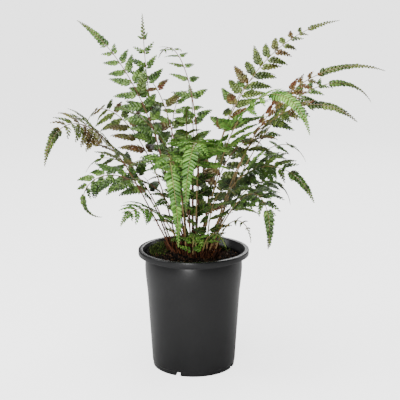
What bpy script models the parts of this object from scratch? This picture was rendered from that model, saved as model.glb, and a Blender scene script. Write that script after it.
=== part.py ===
"""A Japanese painted fern in its nursery pot: pot, soil and one solid for each frond.

Every frond is one closed mesh with three sides to its stem. Each pinna, the leaflet of a frond,
grows out of a short stretch of the stem's side wall, so nothing has to be joined afterwards.
Lengths are in metres and angles in degrees. +Z is up and the origin is the middle of the pot's foot.
"""

import math
import random

import bmesh
import bpy
import numpy as np
from mathutils import Vector
from mathutils.bvhtree import BVHTree

MM = 0.001

# The pot, a tall one-gallon container
POT_HEIGHT = 180 * MM
RIM_RADIUS = 82.5 * MM
MOUTH_RADIUS = 76.5 * MM
NECK_RADIUS = 72.6 * MM
FOOT_RADIUS = 61.5 * MM
WALL = 1.8 * MM
LIP_DROP = 8 * MM
NECK_STEP = 10 * MM
FOOT_STEP = 7 * MM
SECTORS = 32
DRAIN_BEARINGS = (-112, -22, 68, 158)
DRAIN_WIDTH = 8 * MM
DRAIN_HEIGHT = 6 * MM
DRAIN_DEPTH = 9 * MM

# The soil and the holes that the stems stand in
SOIL_LEVEL = 170 * MM
SOIL_SLOPE = -0.05
SOIL_MOUND = 9 * MM
MOUND_CENTRE = (-0.020, 0.012)
MOUND_RADIUS = 48 * MM
SOIL_WALL_LEVEL = 160 * MM
SOIL_LUMP = 1.6 * MM
SOIL_GAP = 0.4 * MM
SOIL_RINGS = (0.22, 0.5, 0.76, 0.96)
STEM_SUNK = 12 * MM
HOLE_GAP = 0.45 * MM
HOLE_SIDES = 4

# What all fronds share
STEM_FOOT_RADIUS = 1.35 * MM
STEM_TIP_RADIUS = 0.6 * MM
STRAIGHT_FOOT = 22 * MM
PINNA_SEAT = 1.1 * MM
PINNA_WIDTH_SHARE = 0.23
PINNA_THICKNESS = 0.9 * MM
LOBE_SWEEP = 0.45
NOTCH = 0.5
CLEARANCE = 0.6 * MM
PATH_STEPS = 160

# Other ways to hold a pinna that would touch its neighbours: more lift, more slant, and a share of its length.
HOLDS = (
    (0, 0, 1.0),
    (14, 0, 1.0),
    (-14, 0, 1.0),
    (28, -8, 1.0),
    (-28, -8, 1.0),
    (0, -22, 0.85),
    (20, 10, 0.75),
    (-20, 10, 0.75),
    (40, -20, 0.7),
    (0, 0, 0.5),
    (-35, -20, 0.5),
)

# One line for each frond, as read off the photograph, and for the back from how such a plant grows.
# name: x and y of the foot (mm), heading, length (mm), lean from upright at the foot and at the tip,
# how late it bends, sideways turn, bare share of the stem, share of the rest that bears pinnae,
# pairs of pinnae, longest pinna (mm), roll, tone
FRONDS = {
    "frond_01": (-21, 12, 149, 408, 10, 70, 1.7, -12, 0.42, 0.74, 9, 42, 45, "green"),
    "frond_02": (-11, 10, 134, 358, 29, 2, 1.0, 0, 0.38, 0.90, 9, 42, 32, "green"),
    "frond_03": (3, 0, 109, 430, -11, 127, 1.9, 0, 0.46, 0.92, 8, 30, 0, "green"),
    "frond_04": (-19, 24, 115, 335, 24, 108, 2.5, -50, 0.42, 0.86, 7, 38, 0, "green"),
    "frond_05": (-31, -13, 206, 385, 28, 163, 3.1, 48, 0.42, 0.78, 11, 48, 40, "bronze"),
    "frond_06": (-24, 6, 154, 358, 15, 146, 2.0, -38, 0.42, 0.80, 8, 44, 45, "bronze"),
    "frond_07": (-34, -3, 190, 256, 17, 272, 2.5, -1, 0.34, 0.78, 9, 42, 45, "green"),
    "frond_08": (-22, -16, 210, 186, 4, 118, 0.9, 46, 0.36, 0.78, 6, 38, 25, "young"),
    "frond_09": (-11, -23, -118, 387, 3, 187, 1.5, 48, 0.36, 0.62, 10, 50, 0, "young"),
    "frond_10": (3, -24, -77, 367, 3, 189, 1.9, -28, 0.40, 0.62, 10, 50, 0, "young"),
    "frond_11": (13, 14, 37, 440, 7, 84, 1.8, -21, 0.42, 0.84, 13, 38, -50, "bronze"),
    "frond_12": (27, -1, 3, 414, 15, 110, 2.4, -12, 0.46, 0.62, 9, 32, -45, "bronze"),
    "frond_13": (15, 5, 12, 405, 26, 150, 3.5, 6, 0.48, 0.68, 8, 34, -45, "green"),
    "frond_14": (23, -9, -42, 388, 18, 126, 2.4, 2, 0.46, 0.68, 9, 42, -40, "bronze"),
    "frond_15": (10, -9, -58, 420, 19, 160, 3.0, 0, 0.42, 0.64, 9, 50, -35, "young"),
    "frond_16": (19, -15, -38, 270, 30, 228, 2.6, -46, 0.34, 0.74, 8, 46, -25, "green"),
    "frond_17": (33, -8, -34, 286, 0, 152, 1.5, -12, 0.34, 0.76, 9, 50, -35, "green"),
    "frond_18": (25, 11, 26, 226, 22, 170, 1.8, 18, 0.34, 0.72, 7, 42, -40, "green"),
    "frond_19": (29, -19, -36, 135, 18, 177, 2.1, -30, 0.40, 0.85, 5, 12, -30, "green"),
    "frond_20": (4, 8, 10, 226, 17, 150, 4.0, 35, 0.28, 0.78, 8, 40, -45, "bronze"),
    "frond_21": (-1, 18, 86, 300, 5, 90, 2.0, 10, 0.32, 0.82, 6, 40, 0, "green"),
    "frond_22": (13, 24, 58, 380, 14, 112, 2.2, 0, 0.36, 0.80, 5, 44, -20, "green"),
    "frond_23": (-9, 16, 114, 370, 14, 118, 2.3, 0, 0.36, 0.80, 5, 44, 20, "bronze"),
    "frond_24": (-2, 28, 90, 285, 24, 146, 2.2, 6, 0.32, 0.80, 5, 42, 0, "green"),
    "frond_25": (22, 21, 40, 300, 28, 150, 2.2, 6, 0.36, 0.80, 5, 42, -30, "green"),
    "frond_26": (-32, 20, 146, 245, 26, 150, 2.2, -6, 0.36, 0.80, 5, 42, 30, "green"),
    "frond_27": (-5, -12, -100, 285, 4, 84, 2.2, 12, 0.20, 0.84, 9, 44, -30, "green"),
    "frond_28": (-9, -3, -140, 270, 6, 78, 2.2, -12, 0.20, 0.82, 7, 44, 30, "green"),
    "frond_29": (-12, -11, -125, 235, 8, 120, 2.0, 0, 0.18, 0.80, 8, 40, 20, "green"),
    "frond_30": (13, -24, -62, 98, 10, 140, 1.3, 0, 0.16, 0.75, 5, 26, 0, "young"),
    "frond_31": (-1, -31, -88, 84, 4, 130, 1.3, 0, 0.16, 0.75, 4, 24, 0, "young"),
    "frond_32": (19, -23, -66, 172, 6, 112, 2.0, 0, 0.14, 0.80, 7, 36, -15, "green"),
    "frond_33": (-3, -20, -128, 185, 4, 108, 2.0, 0, 0.14, 0.80, 6, 36, 15, "green"),
    "frond_34": (-15, -19, 216, 178, 12, 100, 2.0, 0, 0.14, 0.80, 6, 36, 20, "green"),
}

# Base colour and roughness of each finish
FINISHES = {
    "pot_plastic": ((0.027, 0.027, 0.029, 1), 0.42),
    "potting_soil": ((0.022, 0.014, 0.009, 1), 0.95),
    "green": ((0.060, 0.130, 0.030, 1), 0.55),
    "bronze": ((0.110, 0.105, 0.022, 1), 0.55),
    "young": ((0.150, 0.300, 0.050, 1), 0.50),
}


def clear_scene():
    for obj in list(bpy.data.objects):
        bpy.data.objects.remove(obj)


def finish(name):
    """A Principled material of that finish, made once."""
    material = bpy.data.materials.get(name)
    if material:
        return material
    colour, roughness = FINISHES[name]
    material = bpy.data.materials.new(name)
    material.use_nodes = True
    shader = material.node_tree.nodes["Principled BSDF"]
    shader.inputs["Base Color"].default_value = colour
    shader.inputs["Roughness"].default_value = roughness
    shader.inputs["Metallic"].default_value = 0.0
    return material


def add_object(name, mesh, material, crease=40):
    obj = bpy.data.objects.new(name, mesh)
    bpy.context.scene.collection.objects.link(obj)
    mesh.materials.append(finish(material))
    mesh.shade_smooth()
    mesh.set_sharp_from_angle(angle=math.radians(crease))
    return obj


def mesh_from(name, points, faces):
    """A mesh of those points and faces, with its normals turned to face out."""
    mesh = bpy.data.meshes.new(name)
    mesh.from_pydata([tuple(p) for p in points], [], faces)
    shape = bmesh.new()
    shape.from_mesh(mesh)
    bmesh.ops.recalc_face_normals(shape, faces=shape.faces)
    shape.to_mesh(mesh)
    shape.free()
    return mesh


def turned(name, profile, sectors):
    """A closed profile of (radius, height) turned about Z. Its first and last points lie on the axis."""
    points = [(0.0, 0.0, profile[0][1])]
    faces = []
    rings = []
    for radius, height in profile[1:-1]:
        rings.append(len(points))
        for k in range(sectors):
            angle = 2 * math.pi * k / sectors
            points.append((radius * math.cos(angle), radius * math.sin(angle), height))
    top = len(points)
    points.append((0.0, 0.0, profile[-1][1]))
    for k in range(sectors):
        after = (k + 1) % sectors
        faces.append((0, rings[0] + after, rings[0] + k))
        faces.append((top, rings[-1] + k, rings[-1] + after))
        for low, high in zip(rings, rings[1:]):
            faces.append((low + k, low + after, high + after, high + k))
    return mesh_from(name, points, faces)


def wall_radius(height, inset=0.0):
    """Outer radius of the pot's tapered wall at a height, less an inset."""
    share = (height - FOOT_STEP) / (POT_HEIGHT - LIP_DROP - FOOT_STEP)
    return FOOT_RADIUS + 1.0 * MM + (NECK_RADIUS - FOOT_RADIUS - 1.0 * MM) * share - inset


def make_pot():
    """The blow-moulded pot: a tapered wall, a folded lip that hangs outside it, and drain notches in its foot."""
    neck = POT_HEIGHT - NECK_STEP
    profile = [
        (0, 0),
        (FOOT_RADIUS, 0),
        (FOOT_RADIUS, FOOT_STEP - 1 * MM),
        (wall_radius(FOOT_STEP), FOOT_STEP),
        (NECK_RADIUS, neck - 1.5 * MM),
        (MOUTH_RADIUS, POT_HEIGHT - WALL - 1 * MM),
        (RIM_RADIUS - WALL, POT_HEIGHT - WALL - 0.6 * MM),
        (RIM_RADIUS - WALL, POT_HEIGHT - LIP_DROP),
        (RIM_RADIUS, POT_HEIGHT - LIP_DROP),
        (RIM_RADIUS, POT_HEIGHT - 1.6 * MM),
        (RIM_RADIUS - 1.6 * MM, POT_HEIGHT),
        (MOUTH_RADIUS + 0.4 * MM, POT_HEIGHT),
        (MOUTH_RADIUS - WALL, POT_HEIGHT - 1.6 * MM),
        (NECK_RADIUS - WALL, neck - 1.5 * MM),
        (wall_radius(WALL, WALL), WALL),
        (0, WALL),
    ]
    pot = add_object("pot", turned("pot", profile, SECTORS), "pot_plastic", 30)
    cut(pot, drain_cutters(), "drains")
    return pot


def drain_cutters():
    """Boxes that notch the corner between the pot's wall and its floor."""
    points, faces = [], []
    out = FOOT_RADIUS + 5 * MM
    inner = FOOT_RADIUS - DRAIN_DEPTH
    for bearing in DRAIN_BEARINGS:
        angle = math.radians(bearing)
        along = Vector((math.cos(angle), math.sin(angle), 0))
        across = Vector((-along.y, along.x, 0)) * DRAIN_WIDTH / 2
        start = len(points)
        for reach in (inner, out):
            for side in (-1, 1):
                for height in (-2 * MM, DRAIN_HEIGHT):
                    points.append(along * reach + across * side + Vector((0, 0, height)))
        corners = ((0, 1, 3, 2), (4, 6, 7, 5), (0, 4, 5, 1), (2, 3, 7, 6), (0, 2, 6, 4), (1, 5, 7, 3))
        faces += [tuple(start + c for c in face) for face in corners]
    return bpy.data.objects.new("drain_cutters", mesh_from("drain_cutters", points, faces))


def cut(obj, cutter, label):
    """Takes the cutter away from the object, and hides the cutter."""
    bpy.context.scene.collection.objects.link(cutter)
    cutter.hide_render = True
    cutter.display_type = "WIRE"
    modifier = obj.modifiers.new(label, "BOOLEAN")
    modifier.operation = "DIFFERENCE"
    modifier.object = cutter


def soil_height(x, y):
    """Height of the soil's surface without its lumps: it slopes a little, with a round mound under the crown."""
    away = math.hypot(x - MOUND_CENTRE[0], y - MOUND_CENTRE[1]) / MOUND_RADIUS
    return SOIL_LEVEL + SOIL_SLOPE * x + SOIL_MOUND * math.exp(-away * away)


def make_soil(stems):
    """The soil that fills the pot, lumpy on top, with a plain hole for each stem."""
    draw = random.Random("soil")
    edge = wall_radius(SOIL_WALL_LEVEL, WALL + SOIL_GAP)
    foot = WALL + SOIL_GAP
    knee = wall_radius(FOOT_STEP, WALL + SOIL_GAP)
    points = [(0, 0, foot)]
    rings = []
    for radius, height in ((knee - 2 * MM, foot), (knee, FOOT_STEP + SOIL_GAP), (edge, SOIL_WALL_LEVEL)):
        rings.append(len(points))
        for k in range(SECTORS):
            angle = 2 * math.pi * k / SECTORS
            points.append((radius * math.cos(angle), radius * math.sin(angle), height))
    for share in reversed(SOIL_RINGS):
        rings.append(len(points))
        for k in range(SECTORS):
            angle = 2 * math.pi * k / SECTORS
            x, y = edge * share * math.cos(angle), edge * share * math.sin(angle)
            lump = SOIL_LUMP * draw.uniform(-1, 1) * (share if share > 0.5 else 0.3)
            points.append((x, y, soil_height(x, y) + lump))
    top = len(points)
    points.append((0, 0, soil_height(0, 0)))
    faces = []
    for k in range(SECTORS):
        after = (k + 1) % SECTORS
        faces.append((0, rings[0] + after, rings[0] + k))
        faces.append((top, rings[-1] + k, rings[-1] + after))
        for low, high in zip(rings, rings[1:]):
            faces.append((low + k, low + after, high + after))
            faces.append((low + k, high + after, high + k))
    soil = add_object("soil", mesh_from("soil", points, faces), "potting_soil", 60)
    cut(soil, hole_cutters(stems), "stem_holes")
    return soil


def hole_cutters(stems):
    """A short prism round the foot of each stem, a little wider and deeper than the stem."""
    points, faces = [], []
    for stem in stems:
        low, along, side, up = stem.frame(0.0)
        low = low - along * 0.8 * MM
        start = len(points)
        for reach in (0, STRAIGHT_FOOT * 0.95):
            for k in range(HOLE_SIDES):
                angle = 2 * math.pi * (k + 0.75) / HOLE_SIDES
                spoke = side * math.cos(angle) + up * math.sin(angle)
                points.append(low + along * reach + spoke * (STEM_FOOT_RADIUS * 1.45 + HOLE_GAP))
        faces.append(tuple(start + k for k in range(HOLE_SIDES)))
        faces.append(tuple(start + HOLE_SIDES + k for k in reversed(range(HOLE_SIDES))))
        for k in range(HOLE_SIDES):
            after = (k + 1) % HOLE_SIDES
            faces.append((start + k, start + after, start + HOLE_SIDES + after, start + HOLE_SIDES + k))
    return bpy.data.objects.new("hole_cutters", mesh_from("hole_cutters", points, faces))


class Stem:
    """A frond's stem: its course from the soil to the frond's tip, and the frame at any length along it."""

    def __init__(self, name, row):
        foot_x, foot_y, heading, length, lean, tip_lean, bend, turn, bare, leafy, pairs, pinna, roll, tone = row
        self.name, self.tone, self.pairs, self.bare, self.leafy = name, tone, pairs, bare, leafy
        self.length = length * MM
        self.pinna = pinna * MM
        self.roll = math.radians(roll)
        foot_x, foot_y = foot_x * MM, foot_y * MM
        self.foot = np.array((foot_x, foot_y, soil_height(foot_x, foot_y)))
        share = (np.arange(PATH_STEPS) + 0.5) / PATH_STEPS
        self.lean = np.radians(lean + (tip_lean - lean) * share**bend)
        self.heading = np.radians(heading + turn * share)
        step = np.stack(
            [
                np.sin(self.lean) * np.cos(self.heading),
                np.sin(self.lean) * np.sin(self.heading),
                np.cos(self.lean),
            ],
            axis=1,
        )
        course = np.cumsum(step * self.length / PATH_STEPS, axis=0)
        self.course = np.vstack([np.zeros(3), course]) + self.foot

    def frame(self, share):
        """Point, direction, sideways and upward vectors at a share of the length. The sunk foot has share 0."""
        sunk = STEM_SUNK / self.length
        place = share * (1 + sunk) - sunk
        index = min(max(place, 0.0) * PATH_STEPS, PATH_STEPS - 1e-6)
        cell = int(index)
        lean = np.interp(index - 0.5, np.arange(PATH_STEPS), self.lean)
        heading = np.interp(index - 0.5, np.arange(PATH_STEPS), self.heading)
        along = Vector((math.sin(lean) * math.cos(heading), math.sin(lean) * math.sin(heading), math.cos(lean)))
        point = self.course[cell] + (self.course[cell + 1] - self.course[cell]) * (index - cell)
        point = Vector(point) + along * min(place, 0.0) * self.length
        side = Vector((math.sin(heading), -math.cos(heading), 0))
        up = side.cross(along)
        turn = self.roll * max(0.0, min(1.0, (share - self.bare) / 0.2))
        return point, along, side * math.cos(turn) + up * math.sin(turn), up * math.cos(turn) - side * math.sin(turn)

    def radius(self, share):
        return STEM_FOOT_RADIUS + (STEM_TIP_RADIUS - STEM_FOOT_RADIUS) * min(1.0, share * 1.15)

    def pair_share(self, pair):
        """Where along the stem a pair of pinnae sits: closer together towards the tip."""
        ahead = (pair + 0.3) / self.pairs
        return self.bare + (1 - self.bare) * self.leafy * ahead**0.92

    def pinna_length(self, pair):
        """Longest a quarter of the way up the blade, and short near the tip."""
        ahead = (pair + 0.3) / self.pairs
        return self.pinna * (0.80 + 0.9 * ahead) * (1 - ahead) ** 0.80 * 1.25

    def tip_half(self):
        """Half width where the tip blade begins. It is narrower where pinnae reach further up the frond."""
        return self.pinna * 0.21 * ((1 - self.leafy) / 0.36) ** 0.7

    def stations(self, pair):
        """How many steps of its outline a pinna of that pair has."""
        length = self.pinna_length(pair)
        return 5 if length > 56 * MM else 4 if length > 37 * MM else 3 if length > 18 * MM else 2


def pinna_pose(stem, pair, side_sign, hold, draw):
    """Root, direction, front edge and upper side of a pinna, its length and how far it arches down."""
    lift, slant, share = hold
    point, along, side, up = stem.frame(stem.pair_share(pair))
    ahead = pair / max(1, stem.pairs - 1)
    spread = math.radians(64 - 22 * ahead + slant + draw[0] * 8)
    raised = math.radians(8 + lift + draw[1] * 12)
    flat = along * math.cos(spread) + side * side_sign * math.sin(spread)
    direction = (flat * math.cos(raised) + up * math.sin(raised)).normalized()
    level = 0.25 * max(0.0, along.z)
    face = up * (1 - level) + Vector((0, 0, 1)) * level
    face = (face - direction * face.dot(direction)).normalized()
    edge = face.cross(direction)
    if edge.dot(along) < 0:
        edge = -edge
    length = stem.pinna_length(pair) * share * (1 + 0.08 * draw[2])
    arch = math.radians(46 + 22 * draw[3])
    root = point + side * side_sign * stem.radius(stem.pair_share(pair)) * 0.5
    return root, direction, edge, face, length, arch


def pinna_point(pose, ahead):
    """Point, direction and upper side at a share of a pinna's length, which bends down along an arc."""
    root, direction, edge, face, length, arch = pose
    angle = arch * ahead
    point = root + (direction * math.sin(angle) - face * (1 - math.cos(angle))) * (length / arch)
    return (
        point + edge * length * 0.05 * ahead * ahead,
        direction * math.cos(angle) - face * math.sin(angle),
        face * math.cos(angle) + direction * math.sin(angle),
    )


def pinna_rings(pose, steps, grow=0.0):
    """Three corners at each station: rear edge, front edge and keel. The lobes lie now in front and now behind."""
    edge, length = pose[2], pose[4]
    rings = []
    for k in range(steps):
        ahead = 0.08 + 0.78 * k / (steps - 1)
        point, direction, face = pinna_point(pose, ahead)
        half = length * PINNA_WIDTH_SHARE * min(1.0, 0.5 + 4 * ahead) * (1 - ahead) ** 0.75 + 0.3 * MM
        front = half * (1.0 if k % 2 == 0 else NOTCH) + grow
        rear = half * (NOTCH if k % 2 == 0 else 1.0) + grow
        thick = PINNA_THICKNESS * (1 - 0.3 * ahead)
        rings.append(
            (
                point - edge * rear + direction * rear * LOBE_SWEEP + face * grow,
                point + edge * front + direction * front * LOBE_SWEEP + face * grow,
                point - face * (thick + grow),
            )
        )
    tip, direction, _ = pinna_point(pose, 1.0)
    return rings, tip + direction * grow


def closed_rings(rings, tip):
    """Points and faces of three-cornered rings joined in a row, closed at both ends."""
    points = [p for ring in rings for p in ring] + [tip]
    faces = [(0, 1, 2)]
    for k in range(len(rings) - 1):
        a, b = 3 * k, 3 * k + 3
        for i in range(3):
            j = (i + 1) % 3
            faces += [(a + i, a + j, b + j), (a + i, b + j, b + i)]
    last, end = 3 * (len(rings) - 1), len(points) - 1
    faces += [(last + i, last + (i + 1) % 3, end) for i in range(3)]
    return points, faces


class Obstacles:
    """Closed shapes already placed, each with its box, and a test of a new shape against them."""

    def __init__(self):
        self.trees, self.lows, self.highs, self.owners = [], [], [], []

    def add(self, points, faces, owner):
        corners = np.array([tuple(p) for p in points])
        self.trees.append(BVHTree.FromPolygons([tuple(p) for p in points], faces))
        self.lows.append(corners.min(axis=0))
        self.highs.append(corners.max(axis=0))
        self.owners.append(owner)

    def hit(self, points, faces, skip):
        corners = np.array([tuple(p) for p in points])
        low, high = corners.min(axis=0), corners.max(axis=0)
        near = (np.array(self.lows) <= high).all(axis=1) & (np.array(self.highs) >= low).all(axis=1)
        tree = None
        for k in np.flatnonzero(near):
            if self.owners[k] == skip:
                continue
            tree = tree or BVHTree.FromPolygons([tuple(p) for p in points], faces)
            if tree.overlap(self.trees[k]):
                return True
        return False


def stem_shares(stem):
    """Shares of the length where the stem has a ring, and for each gap the pair of pinnae that it seats."""
    straight = (STEM_SUNK + STRAIGHT_FOOT * 0.5) / (stem.length + STEM_SUNK)
    seat = PINNA_SEAT / stem.length
    first = stem.pair_share(0) - seat
    bare_steps = 3
    shares = [0.0] + list(np.linspace(straight, first, bare_steps))
    seats = {}
    for pair in range(stem.pairs):
        share = stem.pair_share(pair)
        if pair:
            shares.append(share - seat)
        seats[len(shares) - 1] = pair
        shares.append(share + seat)
    return shares, seats


def stem_ring(stem, share, grow=0.0):
    """Left, right and lower corner of the stem."""
    point, _, side, up = stem.frame(share)
    radius = stem.radius(share) + grow
    return (
        point - side * radius * 0.87 + up * radius * 0.5,
        point + side * radius * 0.87 + up * radius * 0.5,
        point - up * radius,
    )


def tip_rings(stem, start, grow=0.0):
    """The frond's narrow toothed end, in which the pinnae run together into one blade."""
    steps = 6 if (1 - start) * stem.length > 50 * MM else 4
    rings = []
    for k in range(steps):
        ahead = (k + 0.6) / (steps + 0.4)
        share = start + (1 - start) * ahead
        point, along, side, up = stem.frame(share)
        half = stem.tip_half() * (1 - ahead) ** 0.8 + 0.4 * MM
        left = half * (1.0 if k % 2 == 0 else NOTCH) + grow
        right = half * (NOTCH if k % 2 == 0 else 1.0) + grow
        rings.append(
            (
                point - side * left + along * left * LOBE_SWEEP + up * grow,
                point + side * right + along * right * LOBE_SWEEP + up * grow,
                point - up * (PINNA_THICKNESS * (1 - 0.3 * ahead) + grow),
            )
        )
    return rings, stem.frame(1.0)[0]


def pinnae_of(stem, obstacles):
    """The pose of each pinna that has room, by pair and side. A pinna with no room anywhere is left out."""
    draw = random.Random(stem.name)
    poses = {}
    for pair in range(stem.pairs):
        for side_sign in (-1, 1):
            luck = [draw.uniform(-1, 1) for _ in range(4)]
            for hold in HOLDS:
                pose = pinna_pose(stem, pair, side_sign, hold, luck)
                shape = closed_rings(*pinna_rings(pose, stem.stations(pair), CLEARANCE))
                if not obstacles.hit(*shape, skip=stem.name + " stem"):
                    poses[pair, side_sign] = pose
                    obstacles.add(*shape, owner=stem.name)
                    break
    return poses


def make_frond(stem, poses):
    """One closed mesh: the stem's rings in a row, with pinnae grown out of its side walls, and the tip blade."""
    shares, seats = stem_shares(stem)
    points, faces = [], [(0, 1, 2)]
    for share in shares:
        points += stem_ring(stem, share)
    for k in range(len(shares) - 1):
        low, high = 3 * k, 3 * k + 3
        faces += [(low, low + 1, high + 1), (low, high + 1, high)]
        for side_sign, corner in ((-1, 0), (1, 1)):
            pose = poses.get((seats.get(k), side_sign))
            if pose is None:
                faces += [(low + corner, high + corner, high + 2), (low + corner, high + 2, low + 2)]
            else:
                seat = (low + corner, high + corner, high + 2, low + 2)
                grow_pinna(points, faces, seat, pinna_rings(pose, stem.stations(seats[k])))
    tip_start = shares[-1]
    rings, tip = tip_rings(stem, tip_start)
    last = 3 * (len(shares) - 1)
    for ring in rings:
        new = len(points)
        points += ring
        for i in range(3):
            j = (i + 1) % 3
            faces += [(last + i, last + j, new + j), (last + i, new + j, new + i)]
        last = new
    points.append(tip)
    faces += [(last + i, last + (i + 1) % 3, len(points) - 1) for i in range(3)]
    return add_object(stem.name, mesh_from(stem.name, points, faces), stem.tone, 50)


def grow_pinna(points, faces, seat, shape):
    """Joins a pinna's rings to the four corners of its seat: rear top, front top, front keel, rear keel."""
    rings, tip = shape
    rear_top, front_top, front_low, rear_low = seat
    first = len(points)
    for ring in rings:
        points += ring
    faces += [
        (rear_top, front_top, first + 1),
        (rear_top, first + 1, first),
        (front_top, front_low, first + 2),
        (front_top, first + 2, first + 1),
        (rear_low, rear_top, first),
        (rear_low, first, first + 2),
        (front_low, rear_low, first + 2),
    ]
    for k in range(len(rings) - 1):
        a, b = first + 3 * k, first + 3 * k + 3
        for i in range(3):
            j = (i + 1) % 3
            faces += [(a + i, a + j, b + j), (a + i, b + j, b + i)]
    last, end = first + 3 * (len(rings) - 1), len(points)
    points.append(tip)
    faces += [(last + i, last + (i + 1) % 3, end) for i in range(3)]


def holder_shape():
    """The pot's mouth and the soil as one plain shape that no pinna may touch: a drum a little over full size."""
    sides = 24
    points, faces = [], []
    for radius, height in ((FOOT_RADIUS, 0.0), (RIM_RADIUS + 1 * MM, POT_HEIGHT - LIP_DROP)):
        points += [
            (radius * math.cos(2 * math.pi * k / sides), radius * math.sin(2 * math.pi * k / sides), height)
            for k in range(sides)
        ]
    for radius, height in ((RIM_RADIUS + 1 * MM, POT_HEIGHT + 1 * MM), (MOUTH_RADIUS - 2 * MM, POT_HEIGHT + 1 * MM)):
        points += [
            (radius * math.cos(2 * math.pi * k / sides), radius * math.sin(2 * math.pi * k / sides), height)
            for k in range(sides)
        ]
    points += [
        (x * 0.8, y * 0.8, soil_height(x * 0.8, y * 0.8) + 3 * MM) for x, y, _ in points[3 * sides :]
    ]
    for ring in range(4):
        for k in range(sides):
            after = (k + 1) % sides
            low = ring * sides
            faces.append((low + k, low + after, low + sides + after, low + sides + k))
    top = len(points)
    points.append((0, 0, soil_height(0, 0) + 3 * MM))
    faces += [(4 * sides + k, 4 * sides + (k + 1) % sides, top) for k in range(sides)]
    return points, faces


def build():
    clear_scene()
    stems = [Stem(name, row) for name, row in FRONDS.items()]
    make_pot()
    make_soil(stems)
    obstacles = Obstacles()
    obstacles.add(*holder_shape(), owner="holder")
    for stem in stems:
        shares, _ = stem_shares(stem)
        bare = [stem_ring(stem, share, CLEARANCE) for share in shares]
        rings, tip = tip_rings(stem, shares[-1], CLEARANCE)
        obstacles.add(*closed_rings(bare + rings, tip), owner=stem.name + " stem")
    for stem in stems:
        make_frond(stem, pinnae_of(stem, obstacles))


build()
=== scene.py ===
# %% [markdown]
# # A Japanese painted fern in its nursery pot
#
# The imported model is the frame: it gives every solid its place and size, and this file never moves one.
# Here the same plant is grown again with finer leaves, and dressed in materials that look like leaf,
# stalk, potting mix and plastic.

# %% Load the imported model
import math
import random

import bmesh
import bpy
import numpy as np
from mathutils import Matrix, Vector
from mathutils.bvhtree import BVHTree


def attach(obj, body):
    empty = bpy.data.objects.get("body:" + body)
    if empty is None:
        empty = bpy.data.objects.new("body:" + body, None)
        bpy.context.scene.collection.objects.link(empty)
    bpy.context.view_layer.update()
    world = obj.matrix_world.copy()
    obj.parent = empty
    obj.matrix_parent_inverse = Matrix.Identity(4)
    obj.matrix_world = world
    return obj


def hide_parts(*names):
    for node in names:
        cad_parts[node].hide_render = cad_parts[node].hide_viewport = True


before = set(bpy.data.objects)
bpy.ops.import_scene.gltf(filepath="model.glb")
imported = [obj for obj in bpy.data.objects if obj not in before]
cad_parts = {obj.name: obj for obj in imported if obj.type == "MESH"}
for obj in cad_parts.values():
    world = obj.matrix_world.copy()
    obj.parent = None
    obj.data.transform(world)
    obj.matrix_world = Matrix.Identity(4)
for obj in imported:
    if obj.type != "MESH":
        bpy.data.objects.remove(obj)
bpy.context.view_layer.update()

MM = 0.001

# %% [markdown]
# ## Camera, floor and light
#
# The photograph was taken from a little above the pot's rim with a long lens, against white.
# The camera's place and lens come from the pot alone: its rim, height and foot are round and of known size,
# so only one camera sees them as the photograph does. A wide soft key from the left of the camera, a large
# panel above and weaker ones at the sides and behind give the soft light of a studio.

# %% Camera
CAMERA_PLACE = (0.0095, -1.474, 0.575)
CAMERA_PITCH = 12.31
LENS_MM = 91.98

camera = bpy.data.objects.new("camera", bpy.data.cameras.new("camera"))
bpy.context.scene.collection.objects.link(camera)
camera.location = CAMERA_PLACE
camera.rotation_euler = (math.radians(90 - CAMERA_PITCH), 0, 0)
camera.data.sensor_width = 36
camera.data.lens = LENS_MM
bpy.context.scene.camera = camera
print("camera at", CAMERA_PLACE, "lens", LENS_MM, "mm")


# %% Colours and nodes
def linear(colour):
    """An sRGB hex colour as linear red, green, blue and alpha: each channel goes through the sRGB curve."""
    channels = [int(colour[k : k + 2], 16) / 255 for k in (1, 3, 5)]
    return tuple(c / 12.92 if c <= 0.04045 else ((c + 0.055) / 1.055) ** 2.4 for c in channels) + (1.0,)


def add_node(tree, kind, inputs=(), **settings):
    """Adds a node, applies its settings, and fills each named input with a value or a link."""
    made = tree.nodes.new(kind)
    for name, value in settings.items():
        setattr(made, name, value)
    for name, value in dict(inputs).items():
        if isinstance(value, bpy.types.NodeSocket):
            tree.links.new(value, made.inputs[name])
        else:
            made.inputs[name].default_value = value
    return made


def start_material(name, roughness, specular=0.5):
    """A material with only a Principled shader in it, and the tree that its pattern goes into."""
    material = bpy.data.materials.new(name)
    material.use_nodes = True
    tree = material.node_tree
    shader = tree.nodes["Principled BSDF"]
    shader.inputs["Roughness"].default_value = roughness
    shader.inputs["Specular IOR Level"].default_value = specular
    return material, tree, shader


def ramp(tree, factor, stops):
    """A colour ramp through (place, hex colour) stops."""
    made = add_node(tree, "ShaderNodeValToRGB", {"Fac": factor})
    elements = made.color_ramp.elements
    while len(elements) < len(stops):
        elements.new(0.5)
    for element, (place, colour) in zip(elements, stops):
        element.position = place
        element.color = linear(colour)
    return made.outputs["Color"]


# %% Floor and lights
FLOOR_REACH = 40.0
WHITE_LIFT = 2.6
BACKDROP_LIGHT = 3.0
ROOM_LIGHT = 0.24


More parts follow.
